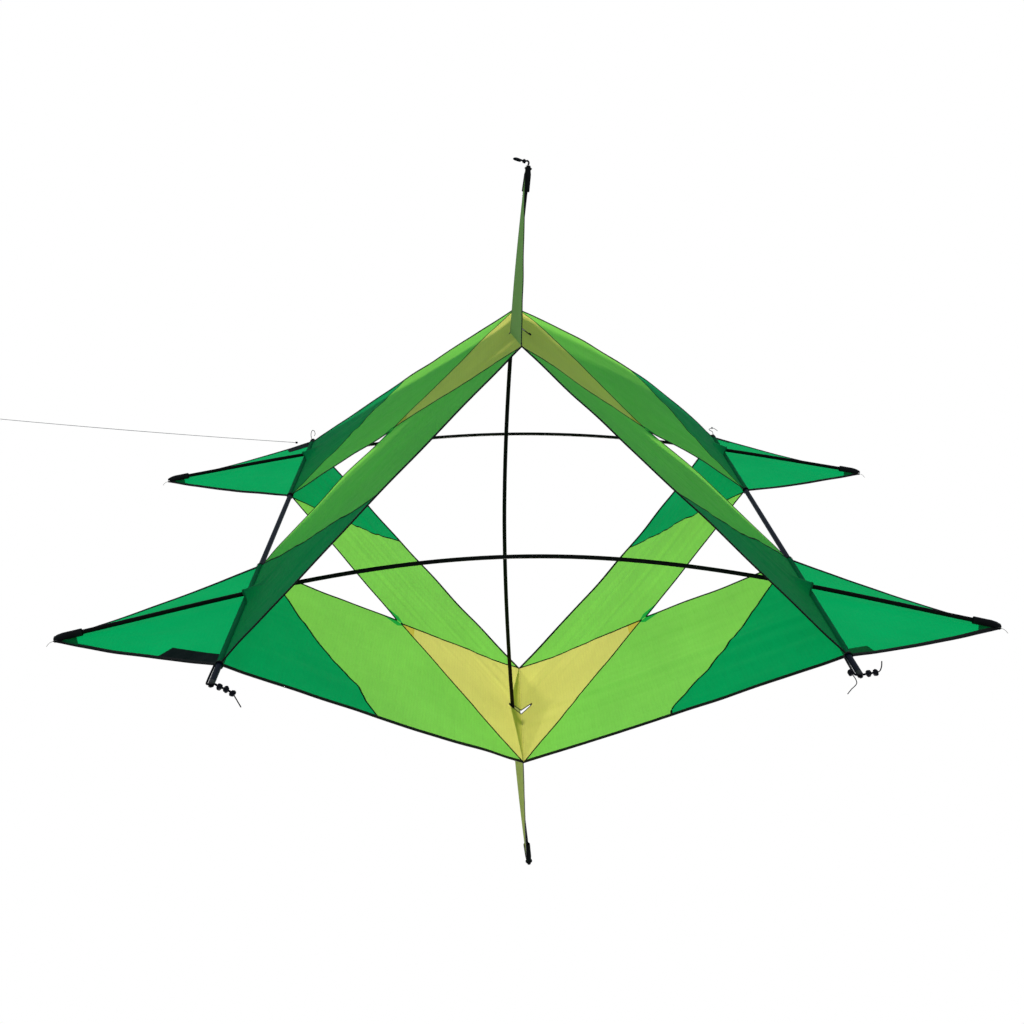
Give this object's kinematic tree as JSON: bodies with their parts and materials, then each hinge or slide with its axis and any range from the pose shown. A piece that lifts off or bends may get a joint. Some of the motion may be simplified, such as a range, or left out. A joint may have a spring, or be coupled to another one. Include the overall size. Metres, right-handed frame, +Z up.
{
  "type": "winged box kite",
  "caption": "Winged box kite: two side rods carry forked upper and lower sails, side wings and two fins, spread by bowed spars.",
  "frame": {"origin": "centre of the knot that ties the flying line to the rear left corner", "axes": "+X across the span to the right wings, +Y along the side rods from the near nocks to the far end, +Z up towards the top fin"},
  "size_m": [1.561, 1.0715, 1.1352],
  "materials": {
    "yellow_cloth": "ripstop nylon, satin",
    "light_green_cloth": "ripstop nylon, satin",
    "green_cloth": "ripstop nylon, satin",
    "black_cloth": "nylon webbing, matte",
    "spar_black": "pultruded rod, satin",
    "longeron_navy": "wrapped tube, satin",
    "nock_black": "moulded, satin",
    "cord_black": "braided elastic, matte",
    "line_grey": "braided line, matte"
  },
  "bodies": {
    "sail": {"upper_left_yellow": "yellow_cloth", "upper_left_front_light_green": "light_green_cloth", "upper_left_rear_light_green": "light_green_cloth", "upper_left_front_green": "green_cloth", "upper_left_rear_green": "green_cloth", "upper_right_yellow": "yellow_cloth", "upper_right_front_light_green": "light_green_cloth", "upper_right_rear_light_green": "light_green_cloth", "upper_right_front_green": "green_cloth", "upper_right_rear_green": "green_cloth", "lower_left_yellow": "yellow_cloth", "lower_left_front_light_green": "light_green_cloth", "lower_left_rear_light_green": "light_green_cloth", "lower_left_front_green": "green_cloth", "lower_left_rear_green": "green_cloth", "lower_right_yellow": "yellow_cloth", "lower_right_front_light_green": "light_green_cloth", "lower_right_rear_light_green": "light_green_cloth", "lower_right_front_green": "green_cloth", "lower_right_rear_green": "green_cloth", "front_left_wing": "green_cloth", "front_left_patch": "black_cloth", "front_left_sleeve": "green_cloth", "front_left_pocket": "black_cloth", "front_right_wing": "green_cloth", "front_right_patch": "black_cloth", "front_right_sleeve": "green_cloth", "front_right_pocket": "black_cloth", "rear_left_wing": "green_cloth", "rear_left_patch": "black_cloth", "rear_left_sleeve": "green_cloth", "rear_left_pocket": "black_cloth", "rear_right_wing": "green_cloth", "rear_right_patch": "black_cloth", "rear_right_sleeve": "green_cloth", "rear_right_pocket": "black_cloth", "top_fin": "light_green_cloth", "bottom_fin": "yellow_cloth", "top_pocket": "black_cloth", "bottom_pocket": "black_cloth", "front_spar": "spar_black", "rear_spar": "spar_black", "upright_spar": "spar_black", "left_far_pocket": "black_cloth", "left_far_cord": "cord_black", "right_far_pocket": "black_cloth", "right_far_cord": "cord_black"},
    "left_rod": {"left_longeron": "longeron_navy", "left_nock": "nock_black", "left_far_plug": "nock_black", "left_tension_cord": "cord_black"},
    "right_rod": {"right_longeron": "longeron_navy", "right_nock": "nock_black", "right_far_plug": "nock_black", "right_tension_cord": "cord_black"},
    "hang_loop": {"top_loop": "cord_black"},
    "line_knot": {"tow_knot": "cord_black"},
    "line": {"flying_line": "line_grey", "line_end_knot": "line_grey"}
  },
  "joints": [
    {"name": "left_rod_slide", "type": "slide", "parent": "sail", "child": "left_rod", "axis": [0, -1, 0], "range_m": [0, 1.07]},
    {"name": "right_rod_slide", "type": "slide", "parent": "sail", "child": "right_rod", "axis": [0, -1, 0], "range_m": [0, 1.07]},
    {"name": "hang_loop_swing", "type": "hinge", "parent": "sail", "child": "hang_loop", "pos_m": [0.412, -0.486, 0.5337], "axis": [0, 1, 0], "range_deg": [-20, 70]},
    {"name": "line_turn", "type": "hinge", "parent": "sail", "child": "line_knot", "pos_m": [0, 0, 0], "axis": [0, 0, 1], "range_deg": [-90, 0]},
    {"name": "line_lift", "type": "hinge", "parent": "line_knot", "child": "line", "pos_m": [0, 0, 0], "axis": [0, 1, 0], "range_deg": [-75, 75]}
  ]
}
